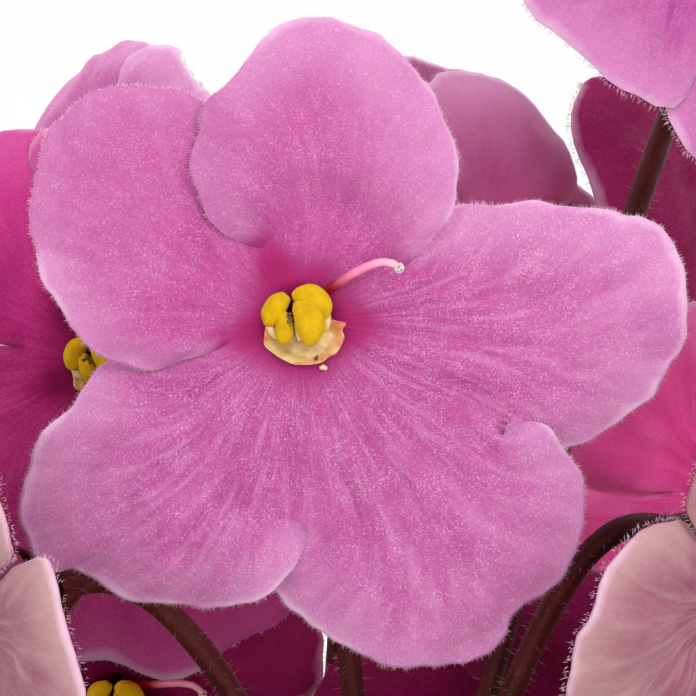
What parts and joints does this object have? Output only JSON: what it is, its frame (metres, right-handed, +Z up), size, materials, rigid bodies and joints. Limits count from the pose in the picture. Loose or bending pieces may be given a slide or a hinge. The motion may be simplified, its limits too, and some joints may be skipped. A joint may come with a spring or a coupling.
{
  "type": "potted african violet",
  "caption": "Flowering african violet in a round tapered nursery pot: pink open flowers and buds on branched stems over a rosette of hairy leaves.",
  "frame": {"origin": "centre of the pot's flat underside", "axes": "+Z up; the main flower faces -Y; +X to the right seen from the front"},
  "size_m": [0.2222, 0.2222, 0.2121],
  "materials": {
    "pot_plastic": "matte",
    "potting_soil": "matte",
    "crown_tissue": "matte",
    "leaf_green": "matte",
    "stem_brown_red": "satin",
    "petal_pink": "matte",
    "anther_yellow": "satin",
    "pistil_pink": "satin",
    "bud_pink": "matte"
  },
  "bodies": {
    "root": {"pot": "pot_plastic", "potting_soil": "potting_soil", "crown": "crown_tissue", "leaf_01": "leaf_green", "leaf_02": "leaf_green", "leaf_03": "leaf_green", "leaf_04": "leaf_green", "leaf_05": "leaf_green", "leaf_06": "leaf_green", "leaf_07": "leaf_green", "leaf_08": "leaf_green", "leaf_09": "leaf_green", "leaf_10": "leaf_green", "leaf_11": "leaf_green", "leaf_12": "leaf_green", "leaf_13": "leaf_green", "leaf_14": "leaf_green", "leaf_15": "leaf_green", "flower_stem_1": "stem_brown_red", "flower_stem_2": "stem_brown_red", "flower_stem_3": "stem_brown_red", "flower_stem_4": "stem_brown_red", "corolla_01": "petal_pink", "corolla_02": "petal_pink", "corolla_03": "petal_pink", "corolla_04": "petal_pink", "corolla_05": "petal_pink", "corolla_06": "petal_pink", "corolla_07": "petal_pink", "corolla_08": "petal_pink", "corolla_09": "petal_pink", "corolla_10": "petal_pink", "corolla_11": "petal_pink", "corolla_12": "petal_pink", "stamens_01": "anther_yellow", "stamens_02": "anther_yellow", "stamens_03": "anther_yellow", "stamens_04": "anther_yellow", "stamens_05": "anther_yellow", "stamens_06": "anther_yellow", "stamens_07": "anther_yellow", "stamens_08": "anther_yellow", "stamens_09": "anther_yellow", "stamens_10": "anther_yellow", "stamens_11": "anther_yellow", "stamens_12": "anther_yellow", "pistil_01": "pistil_pink", "pistil_02": "pistil_pink", "pistil_03": "pistil_pink", "pistil_04": "pistil_pink", "pistil_05": "pistil_pink", "pistil_06": "pistil_pink", "pistil_07": "pistil_pink", "pistil_08": "pistil_pink", "pistil_09": "pistil_pink", "pistil_10": "pistil_pink", "pistil_11": "pistil_pink", "pistil_12": "pistil_pink", "bud_1": "bud_pink", "bud_2": "bud_pink"}
  },
  "joints": []
}
